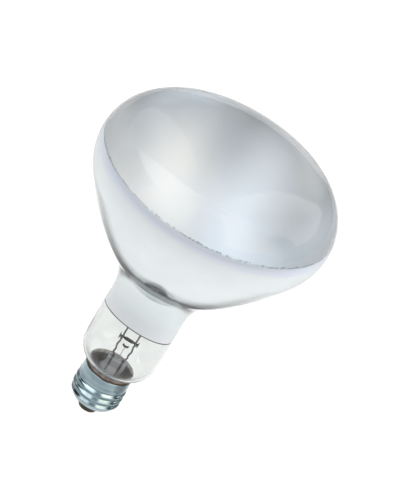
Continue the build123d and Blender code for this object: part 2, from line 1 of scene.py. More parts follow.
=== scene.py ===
import math

import bmesh
import bpy
import numpy as np
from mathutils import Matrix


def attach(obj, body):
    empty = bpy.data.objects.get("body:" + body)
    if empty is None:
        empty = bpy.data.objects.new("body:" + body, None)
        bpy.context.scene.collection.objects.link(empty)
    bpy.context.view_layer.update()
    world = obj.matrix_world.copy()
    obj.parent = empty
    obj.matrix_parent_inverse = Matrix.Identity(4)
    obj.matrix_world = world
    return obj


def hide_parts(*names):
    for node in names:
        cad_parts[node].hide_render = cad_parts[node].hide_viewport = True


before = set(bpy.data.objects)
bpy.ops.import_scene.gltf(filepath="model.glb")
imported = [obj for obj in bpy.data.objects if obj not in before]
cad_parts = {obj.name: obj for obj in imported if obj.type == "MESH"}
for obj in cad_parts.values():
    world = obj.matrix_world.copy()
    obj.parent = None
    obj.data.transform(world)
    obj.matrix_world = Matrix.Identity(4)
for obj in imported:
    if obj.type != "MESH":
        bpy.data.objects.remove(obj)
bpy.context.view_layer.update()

# A sun lamp bulb: a blown reflector bulb with a frosted face and a mirrored bowl, on a rolled
# screw cap. Sizes are in millimetres, as in the solids, and become metres in the meshes.
MM = 0.001

# Bulb
RIM_RADIUS = 62.5
BULB_LENGTH = 175.5
GLASS_WALL = 1.0
FOCAL_LENGTH = 17.4
VERTEX_HEIGHT = 78.8
RIM_STEP = 4.0
CROWN_BULGE = 9.0
BOWL_FOOT_RADIUS = 30.0
NECK_RADIUS = 19.5
SHOULDER_ROUND = 11.5
TAIL_RADIUS = 11.5
TAIL_FILLET = 2.0
TAIL_TOP = 26.7
TAIL_FOOT = 13.0
TAIL_TAPER = 1.6
FOCUS_HEIGHT = VERTEX_HEIGHT + FOCAL_LENGTH

# Mirror film, from its slanting edge in the neck to the frosted face. It is laid on the glass, so
# its outer side lies a hair inside the wall, with no air between them
FILM_INSET = 0.97
FILM_THICKNESS = 0.2
FILM_TOP = 146.7
FILM_EDGE_HEIGHT = 57.9
FILM_LEAN_X = -13.0
FILM_LEAN_Y = 4.2

# Frost on the inside of the face, down to a ragged edge above the rim
FROST_EDGE_HEIGHT = 146.7

# Screw cap
THREAD_DIAMETER = 26.3
THREAD_DEPTH = 1.1
THREAD_PITCH = 3.629
THREAD_TURNS = 3.5
THREAD_RUN_OUT = 1.8
THREAD_START = 3.1
THREAD_FOOT = 7.7
CAP_RADIUS = (THREAD_DIAMETER - THREAD_DEPTH) / 2
COLLAR_FOOT = THREAD_FOOT + THREAD_TURNS * THREAD_PITCH
CAP_HEIGHT = 25.8
CAP_SHEET = 0.3
FOOT_HEIGHT = 4.8
FOOT_ROUND = 6.5
FOOT_HOLE_RADIUS = 5.9

# Stain at one end of the cap's collar: its middle, its reach and the width of its edge
STAIN_MIDDLE = (10.6, -6.8, 23.4)
STAIN_REACH = 4.6
STAIN_EDGE = 3.5

# Leads in the stem's press, on both sides of its middle
MOUNT_SHIFT = 1.1
LEAD_SPACING_PRESS = 5.6
LEAD_RADIUS = 0.45
PRESS_LEADS = (MOUNT_SHIFT - LEAD_SPACING_PRESS / 2, MOUNT_SHIFT + LEAD_SPACING_PRESS / 2)

# Ballast filament
FILAMENT_RADIUS = 19.0
FILAMENT_COIL_RADIUS = 0.9
FILAMENT_ARC = 340.0
FILAMENT_WIRE_RADIUS = 0.13
FILAMENT_TURNS = 190

# Fineness of the meshes: columns round the bulb and the cap, height of the thread's slices, and
# points in each turn of the filament's wire and round it
BULB_COLUMNS = 192
CAP_COLUMNS = 160
THREAD_SLICE = 0.12
WIRE_POINTS = 14
WIRE_SIDES = 6

# Photograph's view: the camera's place and turn in degrees, and its picture in pixels
CAMERA_DISTANCE = 2500.0
CAMERA_ELEVATION = 29.78
CAMERA_ROLL = 30.965
CAMERA_AIM = (10.63, 0.0, 110.99)
FOCAL_PIXELS = 5199.0
PHOTO_WIDTH = 412
PHOTO_HEIGHT = 500
SENSOR = 36.0

# Floor far below the lamp. A glow is how bright it is by itself, and a fade says where one glow
# changes to the next: in shares of the frame, in millimetres from the spot, in half widths of the card
FLOOR_DROP = 600.0
FLOOR_HALF_SIDE = 60000.0
PICTURE_GLOW = 0.72
PICTURE_FADE = (0.54, 0.8)
# Bright spot behind the lamp, with the floor greyer far from it
SPOT_MIDDLE = (420.0, 700.0, -FLOOR_DROP)
SPOT_GLOW = 0.64
FAR_GLOW = 0.31
SPOT_FADE = (560.0, 2800.0)
# Dark oval card past the picture's lower left corner: its middle and its half widths
CARD_MIDDLE = (-20.0, 600.0, -FLOOR_DROP)
CARD_REACH = (330.0, 260.0, 1.0)
CARD_GLOW = 0.05
CARD_FADE = (0.5, 1.3)


def arc_run(start, end, slopes, count):
    """Points of an arc that turns evenly from one slope to another, in radius and height.

    A path whose slope s grows evenly has the tangent (sin s, cos s), so its points are
    start + R (cos s0 - cos s, sin s - sin s0), with R from the length of the chord.
    """
    first, last = np.radians(slopes)
    s = np.linspace(first, last, count)
    turn = np.stack([np.cos(first) - np.cos(s), np.sin(s) - np.sin(first)], -1)
    chord = np.hypot(end[0] - start[0], end[1] - start[1])
    size = chord / np.hypot(*turn[-1])
    return np.array(start) + turn * size * np.sign(last - first), np.degrees(s)


def arc_rise(step, slope):
    """Height that an arc gains from upright to a slope s, while it goes out by a step.

    Its radius is step / (1 - cos s), so it gains step sin s / (1 - cos s).
    """
    s = math.radians(slope)
    return step * math.sin(s) / (1 - math.cos(s))


def bowl_height(radius):
    """Height of the reflector at a radius: the parabola vertex + radius^2 / 4f."""
    return VERTEX_HEIGHT + radius**2 / (4 * FOCAL_LENGTH)


def bowl_slope(radius):
    """Slope of the reflector at a radius, in degrees from the axis: the arctangent of 2f / radius."""
    return np.degrees(np.arctan(2 * FOCAL_LENGTH / radius))


def tail_joints():
    """Tops of the tail, of its fillet and of the shoulder, and the slope between fillet and shoulder.

    Fillet and shoulder are circles that touch, so their centres are as far apart as both radii
    together. That gives how far the fillet's centre lies below the shoulder's.
    """
    centre = NECK_RADIUS - SHOULDER_ROUND
    reach = TAIL_RADIUS + TAIL_FILLET - centre
    drop = math.sqrt((SHOULDER_ROUND + TAIL_FILLET) ** 2 - reach**2)
    under = math.atan2(drop, reach)
    tail_top = (TAIL_RADIUS, TAIL_TOP)
    shoulder = (NECK_RADIUS, TAIL_TOP + drop)
    fillet_top = (
        centre + SHOULDER_ROUND * math.cos(under),
        shoulder[1] - SHOULDER_ROUND * math.sin(under),
    )
    return tail_top, fillet_top, shoulder, math.degrees(under)


def face_edge(rim_height):
    """Where the face's round edge meets the crown's dome, and the slope there.

    The edge is an arc of radius e = rise - bulge about the radius c = rim radius - e, at the rim's
    height. The crown touches it from a centre on the axis, so its radius is
    (rise^2 + c^2 - e^2) / (2 bulge).
    """
    rise = BULB_LENGTH - rim_height
    edge_round = rise - CROWN_BULGE
    edge_centre = RIM_RADIUS - edge_round
    crown = (rise**2 + edge_centre**2 - edge_round**2) / (2 * CROWN_BULGE)
    turn = math.atan2(crown - rise, edge_centre)
    edge = (edge_centre + edge_round * math.cos(turn), rim_height + edge_round * math.sin(turn))
    return edge, -math.degrees(turn)


def bulb_outline():
    """The bulb's outline from tail to crown: points (radius, height), slopes and the joints' rows.

    Straight neck, tangent arcs at tail, shoulder, throat, rim, face edge and crown, and the
    reflector's parabola between the throat and the rim. Slopes are in degrees from the axis.
    """
    tail_foot = (TAIL_RADIUS - TAIL_TAPER, TAIL_FOOT)
    tail_slope = 2 * math.degrees(math.atan(TAIL_TAPER / (TAIL_TOP - TAIL_FOOT)))
    tail_top, fillet_top, shoulder, under = tail_joints()
    bowl_foot = (BOWL_FOOT_RADIUS, bowl_height(BOWL_FOOT_RADIUS))
    foot_slope = bowl_slope(BOWL_FOOT_RADIUS)
    neck_top = (NECK_RADIUS, bowl_foot[1] - arc_rise(BOWL_FOOT_RADIUS - NECK_RADIUS, foot_slope))
    mouth = (RIM_RADIUS - RIM_STEP, bowl_height(RIM_RADIUS - RIM_STEP))
    mouth_slope = bowl_slope(mouth[0])
    rim = (RIM_RADIUS, mouth[1] + arc_rise(RIM_STEP, mouth_slope))
    edge, edge_slope = face_edge(rim[1])
    neck = np.linspace(shoulder, neck_top, 16)
    radii = np.linspace(BOWL_FOOT_RADIUS, mouth[0], 34)
    # Each run is named for the joint it ends at, and an arc's last number is its count of points
    runs = {
        "tail top": arc_run(tail_foot, tail_top, (tail_slope, 0), 12),
        "fillet top": arc_run(tail_top, fillet_top, (0, under), 12),
        "shoulder": arc_run(fillet_top, shoulder, (under, 0), 24),
        "neck top": (neck, np.zeros(len(neck))),
        "bowl foot": arc_run(neck_top, bowl_foot, (0, foot_slope), 18),
        "mouth": (np.stack([radii, bowl_height(radii)], -1), bowl_slope(radii)),
        "rim": arc_run(mouth, rim, (mouth_slope, 0), 14),
        "edge": arc_run(rim, edge, (0, edge_slope), 26),
        "crown": arc_run(edge, (0, BULB_LENGTH), (edge_slope, -90), 26),
    }
    points = np.concatenate([[tail_foot], *(run[0][1:] for run in runs.values())])
    slopes = np.concatenate([[tail_slope], *(run[1][1:] for run in runs.values())])
    rows = np.cumsum([len(run[0]) - 1 for run in runs.values()])
    return points, slopes, dict(zip(runs, rows))


def moved_in(points, slopes, inset):
    """The outline moved inwards by an inset, square to itself: r - d cos s, z + d sin s."""
    s = np.radians(slopes)
    return points + inset * np.stack([-np.cos(s), np.sin(s)], -1)


def film_tilt():
    """Which way the plane of the film's edge in the neck faces: +Z leant about X, then about Y."""
    x, y = math.radians(FILM_LEAN_X), math.radians(FILM_LEAN_Y)
    return (math.sin(y), -math.cos(y) * math.sin(x), math.cos(y) * math.cos(x))


def turned(profile, count):
    """A profile of radius and height turned about the axis: r cos a, r sin a, z for each angle a."""
    a = np.linspace(0, 2 * np.pi, count, endpoint=False)
    r, z = profile[:, :1], profile[:, 1:]
    return np.stack([r * np.cos(a), r * np.sin(a), z + 0 * a], -1)


def grid_piece(name, points, materials, looped=False, rows_of=None):
    """A piece over a grid of points whose columns go round: every cell is one four-sided face.

    looped closes the rows too. rows_of gives the material of each row of faces. Rows that shrink
    to a point on the axis are merged into one pole.
    """
    rows, columns = points.shape[:2]
    index = np.arange(rows * columns).reshape(rows, columns)
    index = np.concatenate([index, index[:, :1]], 1)
    if looped:
        index = np.concatenate([index, index[:1]], 0)
    faces = np.stack([index[:-1, :-1], index[:-1, 1:], index[1:, 1:], index[1:, :-1]], -1)
    mesh = bpy.data.meshes.new(name)
    mesh.from_pydata((points.reshape(-1, 3) * MM).tolist(), [], faces.reshape(-1, 4).tolist())
    for material in materials:
        mesh.materials.append(material)
    if rows_of is not None:
        mesh.polygons.foreach_set("material_index", np.repeat(rows_of, columns).astype(np.int32))
    made = bmesh.new()
    made.from_mesh(mesh)
    bmesh.ops.remove_doubles(made, verts=made.verts, dist=1e-7)
    bmesh.ops.recalc_face_normals(made, faces=made.faces)
    if made.calc_volume(signed=True) < 0:
        bmesh.ops.reverse_faces(made, faces=made.faces)
    made.to_mesh(mesh)
    made.free()
    mesh.polygons.foreach_set("use_smooth", np.ones(len(mesh.polygons), bool))
    piece = bpy.data.objects.new(name, mesh)
    bpy.context.scene.collection.objects.link(piece)
    return piece


def linear(colour):
    """An sRGB hex colour as linear light: ((c + 0.055) / 1.055) ^ 2.4, or c / 12.92 near black."""
    c = np.array([int(colour[i : i + 2], 16) for i in (1, 3, 5)]) / 255
    light = np.where(c > 0.04045, ((c + 0.055) / 1.055) ** 2.4, c / 12.92)
    return (*light.tolist(), 1.0)


def add(tree, kind, feeds=None, **settings):
    """Adds a node: settings are its properties, feeds its socket values or the outputs linked to them."""
    made = tree.nodes.new(kind)
    for name, value in settings.items():
        setattr(made, name, value)
    for socket, value in (feeds or {}).items():
        if isinstance(value, bpy.types.NodeSocket):
            tree.links.new(value, made.inputs[socket])
        else:
            made.inputs[socket].default_value = value
    return made


def finish(name, **sockets):
    """A new material: its node tree, its shader with these socket values, and Object coordinates in mm."""
    material = bpy.data.materials.new(name)
    material.use_nodes = True
    tree = material.node_tree
    shader = tree.nodes["Principled BSDF"]
    for socket, value in sockets.items():
        shader.inputs[socket.replace("_", " ")].default_value = value
    place = add(tree, "ShaderNodeTexCoord").outputs["Object"]
    place = add(tree, "ShaderNodeVectorMath", {0: place, "Scale": 1 / MM}, operation="SCALE").outputs[0]
    return material, tree, shader, place


def blown_glass():
    """Hard borosilicate glass, blown in a mould: clear, with faint waves some 15 mm long."""
    material, tree, shader, place = finish(
        "blown_borosilicate_glass", Roughness=0.0, IOR=1.47, Transmission_Weight=1.0
    )
    # A trace of grey-green, as a thick-walled neck gathers it, in patches of some 30 mm
    height = add(tree, "ShaderNodeSeparateXYZ", {0: place}).outputs["Z"]
    tint = {"Vector": place, "Scale": 1 / 30, "Detail": 1.0}
    tint = add(tree, "ShaderNodeTexNoise", tint).outputs["Fac"]
    tint = add(tree, "ShaderNodeMath", {0: tint, 1: 30.0, 2: height}, operation="MULTIPLY_ADD").outputs[0]
    tint = {"Value": tint, "From Min": 75.0, "From Max": 130.0}
    tint = add(tree, "ShaderNodeMapRange", tint).outputs[0]
    shade = {"Factor": tint, "A": linear("#EFF1F0"), "B": linear("#FCFDFD")}
    colour = add(tree, "ShaderNodeMix", shade, data_type="RGBA").outputs["Result"]
    tree.links.new(colour, shader.inputs["Base Color"])
    waves = {"Vector": place, "Scale": 1 / 15, "Detail": 1.0}
    waves = add(tree, "ShaderNodeTexNoise", waves).outputs["Fac"]
    bump = add(tree, "ShaderNodeBump", {"Height": waves, "Strength": 0.25, "Distance": 0.4 * MM})
    tree.links.new(bump.outputs[0], shader.inputs["Normal"])
    return material


def etched_glass():
    """The same glass, etched inside the face: fine frost with a ragged, speckled lower edge."""
    material, tree, shader, place = finish(
        "acid_etched_borosilicate_glass", IOR=1.47, Transmission_Weight=1.0
    )
    height = add(tree, "ShaderNodeSeparateXYZ", {0: place}).outputs["Z"]
    # Ragged edge: grains of about 1.5 mm move the edge up and down by half a millimetre or so
    grains = {"Vector": place, "Scale": 1 / 1.5, "Detail": 3.0}
    grains = add(tree, "ShaderNodeTexNoise", grains).outputs["Fac"]
    above = add(tree, "ShaderNodeMath", {0: height, 1: FROST_EDGE_HEIGHT}, operation="SUBTRACT").outputs[0]
    ragged = add(tree, "ShaderNodeMath", {0: grains, 1: 2.4, 2: above}, operation="MULTIPLY_ADD").outputs[0]
    frost = {"Value": ragged, "From Min": 1.0, "From Max": 1.3, "To Max": 0.7}
    frost = add(tree, "ShaderNodeMapRange", frost).outputs[0]
    tree.links.new(frost, shader.inputs["Roughness"])
    # Dark specks, some 1.1 mm apart, where the etch stops
    near = add(tree, "ShaderNodeMath", {0: ragged, 1: 1.2, 2: 0.6}, operation="COMPARE").outputs[0]
    dots = add(tree, "ShaderNodeTexVoronoi", {"Vector": place, "Scale": 1 / 1.1}).outputs["Distance"]
    dots = add(tree, "ShaderNodeMapRange", {"Value": dots, "From Min": 0.66, "From Max": 0.42}).outputs[0]
    near = add(tree, "ShaderNodeMath", {0: near, 1: dots}, operation="MULTIPLY").outputs[0]
    shade = {"Factor": near, "A": linear("#F5F9FF"), "B": linear("#7E8994")}
    colour = add(tree, "ShaderNodeMix", shade, data_type="RGBA").outputs["Result"]
    tree.links.new(colour, shader.inputs["Base Color"])
    return material


def smeared_glass():
    """The bulb's tail, fused to the stem and smeared with cement: brownish grey and glossy.

    Its streaks are some 2 mm wide and 7 mm long.
    """
    material, tree, shader, place = finish(
        "fused_glass_smeared_with_cement", IOR=1.47, Transmission_Weight=0.25
    )
    streaks = add(tree, "ShaderNodeMapping", {"Vector": place, "Scale": (0.5, 0.5, 0.15)}).outputs[0]
    streaks = {"Vector": streaks, "Scale": 1.0, "Detail": 3.0}
    streaks = add(tree, "ShaderNodeTexNoise", streaks).outputs["Fac"]
    share = add(tree, "ShaderNodeMapRange", {"Value": streaks, "From Min": 0.3, "From Max": 0.7}).outputs[0]
    shade = {"Factor": share, "A": linear("#857871"), "B": linear("#D2C7C1")}
    colour = add(tree, "ShaderNodeMix", shade, data_type="RGBA").outputs["Result"]
    tree.links.new(colour, shader.inputs["Base Color"])
    gloss = add(tree, "ShaderNodeMapRange", {"Value": streaks, "To Min": 0.04, "To Max": 0.14}).outputs[0]
    tree.links.new(gloss, shader.inputs["Roughness"])
    return material


def mirror_film(name, dull, bright, edges):
    """Aluminium evaporated on the inside of the glass: a bright mirror with clouds of some 18 mm.

    Each of the edges changes its colour smoothly between two places, measured as the height or as
    the distance above the slanting edge, which is that of a point from the leaning plane.
    """
    material, tree, shader, place = finish(name, Metallic=1.0)
    tilt = film_tilt()
    height = add(tree, "ShaderNodeSeparateXYZ", {0: place}).outputs["Z"]
    above = add(tree, "ShaderNodeVectorMath", {0: place, 1: tilt}, operation="DOT_PRODUCT").outputs["Value"]
    above = {0: above, 1: FILM_EDGE_HEIGHT * tilt[2]}
    above = add(tree, "ShaderNodeMath", above, operation="SUBTRACT").outputs[0]
    measures = {"height": height, "above": above}
    clouds = {"Vector": place, "Scale": 1 / 18, "Detail": 2.0}
    clouds = add(tree, "ShaderNodeTexNoise", clouds).outputs["Fac"]
    shade = {"Factor": clouds, "A": linear(dull), "B": linear(bright)}
    colour = add(tree, "ShaderNodeMix", shade, data_type="RGBA").outputs["Result"]
    for measure, start, end, edge_colour in edges:
        share = {"Value": measures[measure], "From Min": start, "From Max": end}
        share = add(tree, "ShaderNodeMapRange", share, interpolation_type="SMOOTHSTEP").outputs[0]
        shade = {"Factor": share, "A": colour, "B": linear(edge_colour)}
        colour = add(tree, "ShaderNodeMix", shade, data_type="RGBA").outputs["Result"]
    tree.links.new(colour, shader.inputs["Base Color"])
    gloss = add(tree, "ShaderNodeMapRange", {"Value": clouds, "To Min": 0.02, "To Max": 0.07}).outputs[0]
    tree.links.new(gloss, shader.inputs["Roughness"])
    return material


def nickel_sheet():
    """Nickel-plated brass sheet, rolled to a thread: blue-grey, with fine lines left by the rolls.

    One end of the collar is stained by flux, where the distance from the stain's middle, made uneven
    by grains of some 1.5 mm, is under its reach.
    """
    material, tree, shader, place = finish("nickel_plated_rolled_sheet", Metallic=1.0)
    # Tarnish in patches of some 9 mm
    tarnish = {"Vector": place, "Scale": 1 / 9, "Detail": 3.0}
    tarnish = add(tree, "ShaderNodeTexNoise", tarnish).outputs["Fac"]
    # Roll lines run round the cap some 0.1 mm apart; drawn 0.5 mm apart so that they show
    lines = add(tree, "ShaderNodeMapping", {"Vector": place, "Scale": (0.03, 0.03, 2.0)}).outputs[0]
    lines = add(tree, "ShaderNodeTexNoise", {"Vector": lines, "Scale": 1.0, "Detail": 3.0}).outputs["Fac"]
    worn = add(tree, "ShaderNodeMath", {0: tarnish, 1: lines}, operation="MULTIPLY").outputs[0]
    share = add(tree, "ShaderNodeMapRange", {"Value": worn, "From Min": 0.12, "From Max": 0.4}).outputs[0]
    shade = {"Factor": share, "A": linear("#84989F"), "B": linear("#B4C7CD")}
    colour = add(tree, "ShaderNodeMix", shade, data_type="RGBA").outputs["Result"]
    away = {0: place, 1: STAIN_MIDDLE}
    away = add(tree, "ShaderNodeVectorMath", away, operation="DISTANCE").outputs["Value"]
    grains = {"Vector": place, "Scale": 1 / 1.5, "Detail": 2.0}
    grains = add(tree, "ShaderNodeTexNoise", grains).outputs["Fac"]
    away = add(tree, "ShaderNodeMath", {0: grains, 1: 5.0, 2: away}, operation="MULTIPLY_ADD").outputs[0]
    stain = {"Value": away, "From Min": STAIN_REACH + STAIN_EDGE, "From Max": STAIN_REACH, "To Max": 0.75}
    stain = add(tree, "ShaderNodeMapRange", stain).outputs[0]
    shade = {"Factor": stain, "A": colour, "B": linear("#47565B")}
    colour = add(tree, "ShaderNodeMix", shade, data_type="RGBA").outputs["Result"]
    tree.links.new(colour, shader.inputs["Base Color"])
    gloss = add(tree, "ShaderNodeMapRange", {"Value": lines, "To Min": 0.1, "To Max": 0.26}).outputs[0]
    tree.links.new(gloss, shader.inputs["Roughness"])
    bump = add(tree, "ShaderNodeBump", {"Height": lines, "Strength": 0.2, "Distance": 0.05 * MM})
    tree.links.new(bump.outputs[0], shader.inputs["Normal"])
    return material


def drawn_metal(name, dark, bright, roughness, spacing=0.3):
    """Metal drawn, pressed or cast: lines along the piece's height, and dull patches of some 2.5 mm.

    Real die lines are hundredths of a millimetre apart; they are drawn coarser so that they show.
    """
    material, tree, shader, place = finish(name, Metallic=1.0)
    patches = {"Vector": place, "Scale": 1 / 2.5, "Detail": 3.0}
    patches = add(tree, "ShaderNodeTexNoise", patches).outputs["Fac"]
    lines = {"Vector": place, "Scale": (1 / spacing, 1 / spacing, 0.15)}
    lines = add(tree, "ShaderNodeMapping", lines).outputs[0]
    lines = add(tree, "ShaderNodeTexNoise", {"Vector": lines, "Scale": 1.0, "Detail": 2.0}).outputs["Fac"]
    share = add(tree, "ShaderNodeMath", {0: patches, 1: lines}, operation="ADD").outputs[0]
    share = add(tree, "ShaderNodeMapRange", {"Value": share, "From Min": 0.7, "From Max": 1.3}).outputs[0]
    shade = {"Factor": share, "A": linear(dark), "B": linear(bright)}
    colour = add(tree, "ShaderNodeMix", shade, data_type="RGBA").outputs["Result"]
    tree.links.new(colour, shader.inputs["Base Color"])
    gloss = {"Value": patches, "To Min": roughness * 1.3, "To Max": roughness * 0.7}
    gloss = add(tree, "ShaderNodeMapRange", gloss).outputs[0]
    tree.links.new(gloss, shader.inputs["Roughness"])
    bump = add(tree, "ShaderNodeBump", {"Height": lines, "Strength": 0.3, "Distance": 0.05 * MM})
    tree.links.new(bump.outputs[0], shader.inputs["Normal"])
    return material


def fired_body(name, dark, bright, roughness, grain, relief):
    """A body fired, baked or moulded from grains: two tones, shallow pits, and a skin of uneven gloss."""
    material, tree, shader, place = finish(name)
    speckle = add(tree, "ShaderNodeTexVoronoi", {"Vector": place, "Scale": 1 / grain}).outputs["Distance"]
    patches = {"Vector": place, "Scale": 0.2 / grain, "Detail": 4.0}
    patches = add(tree, "ShaderNodeTexNoise", patches).outputs["Fac"]
    share = add(tree, "ShaderNodeMath", {0: speckle, 1: patches}, operation="MULTIPLY").outputs[0]
    share = add(tree, "ShaderNodeMapRange", {"Value": share, "From Min": 0.05, "From Max": 0.4}).outputs[0]
    shade = {"Factor": share, "A": linear(bright), "B": linear(dark)}
    colour = add(tree, "ShaderNodeMix", shade, data_type="RGBA").outputs["Result"]
    tree.links.new(colour, shader.inputs["Base Color"])
    gloss = {"Value": patches, "To Min": roughness * 0.8, "To Max": roughness * 1.2}
    gloss = add(tree, "ShaderNodeMapRange", gloss).outputs[0]
    tree.links.new(gloss, shader.inputs["Roughness"])
    bump = {"Height": share, "Strength": 0.5, "Distance": relief * MM}
    bump = add(tree, "ShaderNodeBump", bump, invert=True)
    tree.links.new(bump.outputs[0], shader.inputs["Normal"])
    return material


def tubing_glass(name, clear, low, ior, change, clearness=1.0, leads=()):
    """Glass tubing worked in a flame: clear above, darker and dull below, with ripples of 2 to 3 mm.
    The darker colour below is painted shade, where the cap shuts in the tail of the stem and exhaust tube.

    The glass changes at the given height. Leads sealed in it show through its cloudy skin as dark
    lines, where the distance across from a lead's middle is under the lead's radius or a little more.
    """
    material, tree, shader, place = finish(name, IOR=ior, Transmission_Weight=clearness)
    parts = add(tree, "ShaderNodeSeparateXYZ", {0: place}).outputs
    ripples = {"Vector": place, "Scale": 1 / 2.5, "Detail": 1.0}
    ripples = add(tree, "ShaderNodeTexNoise", ripples).outputs["Fac"]
    uneven = {0: ripples, 1: 2.0, 2: parts["Z"]}
    uneven = add(tree, "ShaderNodeMath", uneven, operation="MULTIPLY_ADD").outputs[0]
    share = {"Value": uneven, "From Min": change - 1.0, "From Max": change + 3.0}
    share = add(tree, "ShaderNodeMapRange", share, interpolation_type="SMOOTHSTEP").outputs[0]
    # Below the given height the glass takes the low colour, which for the stem and exhaust tube is painted
    # shade
    shade = {"Factor": share, "A": linear(low), "B": linear(clear)}
    colour = add(tree, "ShaderNodeMix", shade, data_type="RGBA").outputs["Result"]
    for lead in leads:
        gap = add(tree, "ShaderNodeMath", {0: parts["X"], 1: lead}, operation="SUBTRACT").outputs[0]
        gap = add(tree, "ShaderNodeMath", {0: gap}, operation="ABSOLUTE").outputs[0]
        line = {"Value": gap, "From Min": 1.7 * LEAD_RADIUS, "From Max": LEAD_RADIUS, "To Max": 0.85}
        line = add(tree, "ShaderNodeMapRange", line).outputs[0]
        shade = {"Factor": line, "A": colour, "B": linear("#3A3632")}
        colour = add(tree, "ShaderNodeMix", shade, data_type="RGBA").outputs["Result"]
    tree.links.new(colour, shader.inputs["Base Color"])
    dull = add(tree, "ShaderNodeMapRange", {"Value": share, "To Min": 0.35, "To Max": 0.0}).outputs[0]
    tree.links.new(dull, shader.inputs["Roughness"])
    bump = add(tree, "ShaderNodeBump", {"Height": ripples, "Strength": 0.3, "Distance": 0.2 * MM})
    tree.links.new(bump.outputs[0], shader.inputs["Normal"])
    return material


# Seen through the glass, the film changes its colour by height and near its slanting edge. It turns
# bluish grey towards the face. At the ring where the bowl's foot meets the throat it carries painted
# shade: a grey band above a sharp dark line, and a grey band below that fades back to bright, as a
# mirror there would show dark surroundings. In the last few millimetres of the neck it turns paler,
# with a thin grey line along the edge. Each edge says how it is measured, where it starts and ends in
# millimetres, and its colour
FILM_BANDS_WITH_PAINTED_SHADE = [
    ("height", 140.3, 143.3, "#E4EAF5"),
    # Painted shade at the ring: a grey band, a sharp dark line, a grey band, then back to bright film
    ("height", 108.0, 100.4, "#C4CBCD"),
    ("height", 100.2, 99.5, "#50585A"),
    ("height", 98.5, 95.0, "#8C9498"),
    ("height", 93.5, 91.0, "#EAF0F2"),
    ("above", 9.0, 0.5, "#EEF0F6"),
    ("above", 0.7, 0.3, "#8A8C90"),
]
film = mirror_film("evaporated_aluminium_film", "#E2E9EC", "#F0F4F5", FILM_BANDS_WITH_PAINTED_SHADE)
bare_film = mirror_film("evaporated_aluminium_film_inside", "#F4F8FA", "#FDFEFE", [])

outline, slopes, row = bulb_outline()
inner = moved_in(outline, slopes, GLASS_WALL)

# Bulb: from the inner crown down the inside, round the tail's lip and up the outside to the crown.
# It is frosted inside the face, and smeared outside up to three rows below the fillet's top
CLEAR, FROSTED, SMEARED = range(3)
bulb_glass = [blown_glass(), etched_glass(), smeared_glass()]
wall = np.concatenate([inner[::-1], outline])
wall[[0, -1], 0] = 0.0
step = np.arange(len(wall) - 1)
lip = len(inner) - 1
smear_top = len(inner) + row["fillet top"] - 3
kinds = np.where(step < lip - row["rim"], FROSTED, CLEAR)
kinds[(step >= lip) & (step < smear_top)] = SMEARED
bulb = grid_piece("glass_bulb_blown", turned(wall, BULB_COLUMNS), bulb_glass, rows_of=kinds)
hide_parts("glass_bulb")


def film_surface(inset):
    """The film at one inset: its foot lies on a leaning plane across the neck, its top is level.

    Heights in the neck are stretched, for each angle a, between the plane and the neck's top.
    Above the rim the profile ends at the film's top, at the radius found between its points.
    """
    profile = moved_in(outline, slopes, inset)[row["shoulder"] : row["edge"] + 1]
    top_radius = np.interp(FILM_TOP, profile[:, 1], profile[:, 0])
    profile = np.concatenate([profile[profile[:, 1] < FILM_TOP - 0.05], [[top_radius, FILM_TOP]]])
    surface = turned(profile, BULB_COLUMNS)
    tilt = film_tilt()
    foot = FILM_EDGE_HEIGHT - (surface[0, :, 0] * tilt[0] + surface[0, :, 1] * tilt[1]) / tilt[2]
    rows = row["neck top"] - row["shoulder"]
    top = profile[rows, 1]
    share = np.linspace(0, 1, rows + 1)[:, None]
    surface[: rows + 1, :, 2] = foot + (top - foot) * share
    return surface


coat = np.concatenate([film_surface(FILM_INSET), film_surface(FILM_INSET + FILM_THICKNESS)[::-1]])
bare_rows = np.arange(len(coat)) >= len(coat) // 2
mirror = grid_piece("mirror_film", coat, [film, bare_film], looped=True, rows_of=bare_rows)
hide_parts("mirror_coating")


def cap_form(inset):
    """The cap's form at an inset: each slice is a circle that stands off the axis and turns with height.

    x = d cos t + R cos a, y = d sin t + R sin a, where the turn t grows by one round per pitch and
    the offset d rises smoothly from nothing at the thread's ends.
    """
    bend = np.linspace(0, np.pi / 2, 24)
    reach = FOOT_ROUND - inset
    foot_r = CAP_RADIUS - FOOT_ROUND + reach * np.sin(bend)
    foot_z = FOOT_HEIGHT + FOOT_ROUND - reach * np.cos(bend)
    low = foot_z < THREAD_FOOT
    slices = np.arange(THREAD_FOOT, COLLAR_FOOT, THREAD_SLICE)
    drop = np.maximum(0, FOOT_HEIGHT + FOOT_ROUND - slices)
    slice_r = CAP_RADIUS - FOOT_ROUND + np.sqrt(reach**2 - drop**2)
    collar = np.linspace(COLLAR_FOOT, CAP_HEIGHT, 14)
    collar_r = np.full(len(collar), CAP_RADIUS - inset)
    r = np.concatenate([[FOOT_HOLE_RADIUS], foot_r[low], slice_r, collar_r])
    z = np.concatenate([[FOOT_HEIGHT + inset], foot_z[low], slices, collar])
    run = np.clip(np.minimum(z - THREAD_FOOT, COLLAR_FOOT - z) / THREAD_RUN_OUT, 0, 1)
    off = (run * run * (3 - 2 * run) * THREAD_DEPTH / 2)[:, None]
    turn = (2 * np.pi * (z - THREAD_START) / THREAD_PITCH)[:, None]
    a = np.linspace(0, 2 * np.pi, CAP_COLUMNS, endpoint=False)
    x = off * np.cos(turn) + r[:, None] * np.cos(a)
    y = off * np.sin(turn) + r[:, None] * np.sin(a)
    return np.stack([x, y, z[:, None] + 0 * a], -1)


sheet = np.concatenate([cap_form(0), cap_form(CAP_SHEET)[::-1]])
cap = grid_piece("screw_cap_rolled", sheet, [nickel_sheet()], looped=True)
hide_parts("cap_shell")


